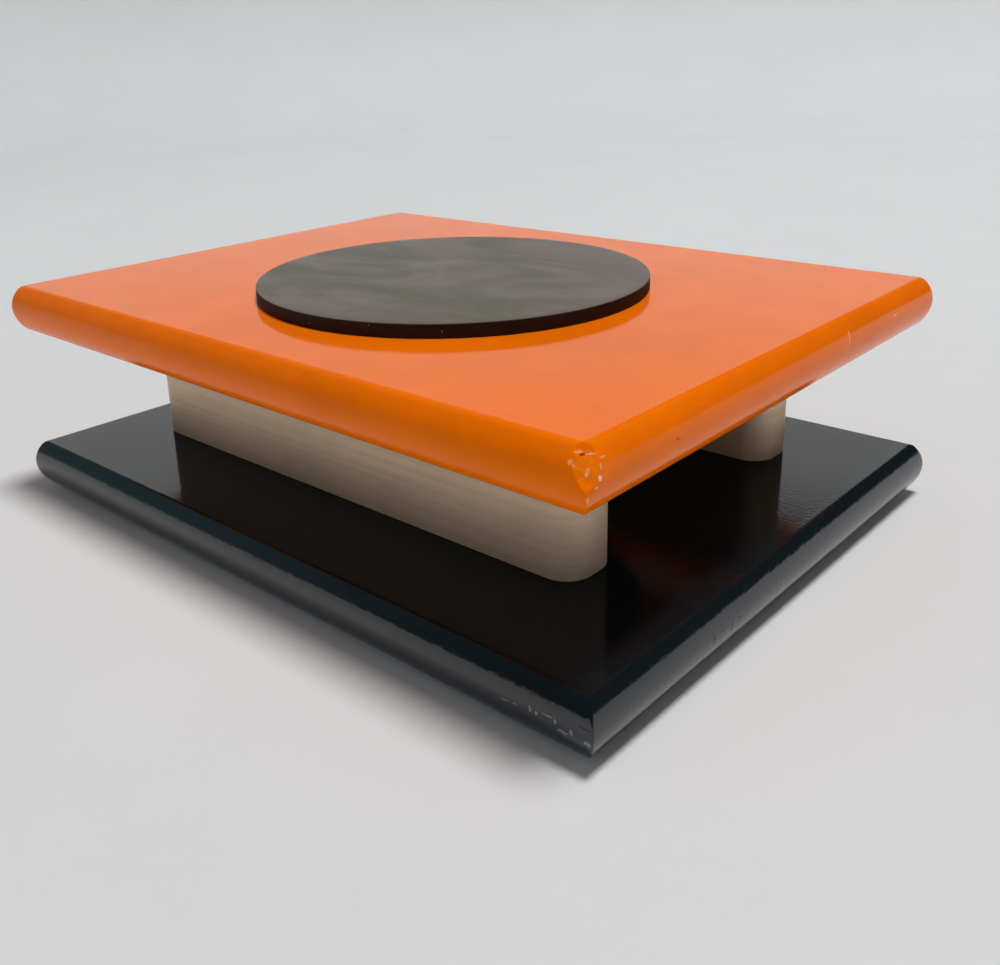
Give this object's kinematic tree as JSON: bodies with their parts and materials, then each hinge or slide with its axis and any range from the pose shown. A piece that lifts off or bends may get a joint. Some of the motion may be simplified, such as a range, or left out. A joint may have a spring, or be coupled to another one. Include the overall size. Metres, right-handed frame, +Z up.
{
  "type": "magnetic desk sculpture",
  "caption": "Magnetic desk sculpture base: two round-nosed lacquered boards held apart by two aluminium bars, with a dark playing disc over hidden magnets on the upper board.",
  "frame": {"origin": "centre of the footprint, on the surface that the felt pads rest on", "axes": "+X along the two bars and the boards' long edges, +Y across the bars away from the front bar, +Z up through the playing disc"},
  "size_m": [0.284, 0.2184, 0.0887],
  "materials": {
    "black_lacquer": "brushed gloss lacquer over wood",
    "orange_lacquer": "brushed gloss lacquer over wood",
    "bar_aluminium": "satin, sanded lengthwise",
    "disc_dark": "dull, rubbed with cloudy smears",
    "keeper_steel": "plain mild steel sheet",
    "ferrite": "ground ceramic magnet",
    "screw_steel": "zinc plated",
    "insert_brass": "turned",
    "pad_felt": "pressed wool felt"
  },
  "bodies": {
    "root": {"base_board": "black_lacquer", "top_board": "orange_lacquer", "front_bar": "bar_aluminium", "rear_bar": "bar_aluminium", "playing_disc": "disc_dark", "keeper_plate": "keeper_steel", "magnet_centre": "ferrite", "magnet_1": "ferrite", "magnet_2": "ferrite", "magnet_3": "ferrite", "magnet_4": "ferrite", "magnet_5": "ferrite", "magnet_6": "ferrite", "screw_front_left": "screw_steel", "screw_front_right": "screw_steel", "screw_rear_left": "screw_steel", "screw_rear_right": "screw_steel", "insert_front_left": "insert_brass", "insert_front_right": "insert_brass", "insert_rear_left": "insert_brass", "insert_rear_right": "insert_brass", "pad_front_left": "pad_felt", "pad_front_right": "pad_felt", "pad_rear_left": "pad_felt", "pad_rear_right": "pad_felt"}
  },
  "joints": []
}
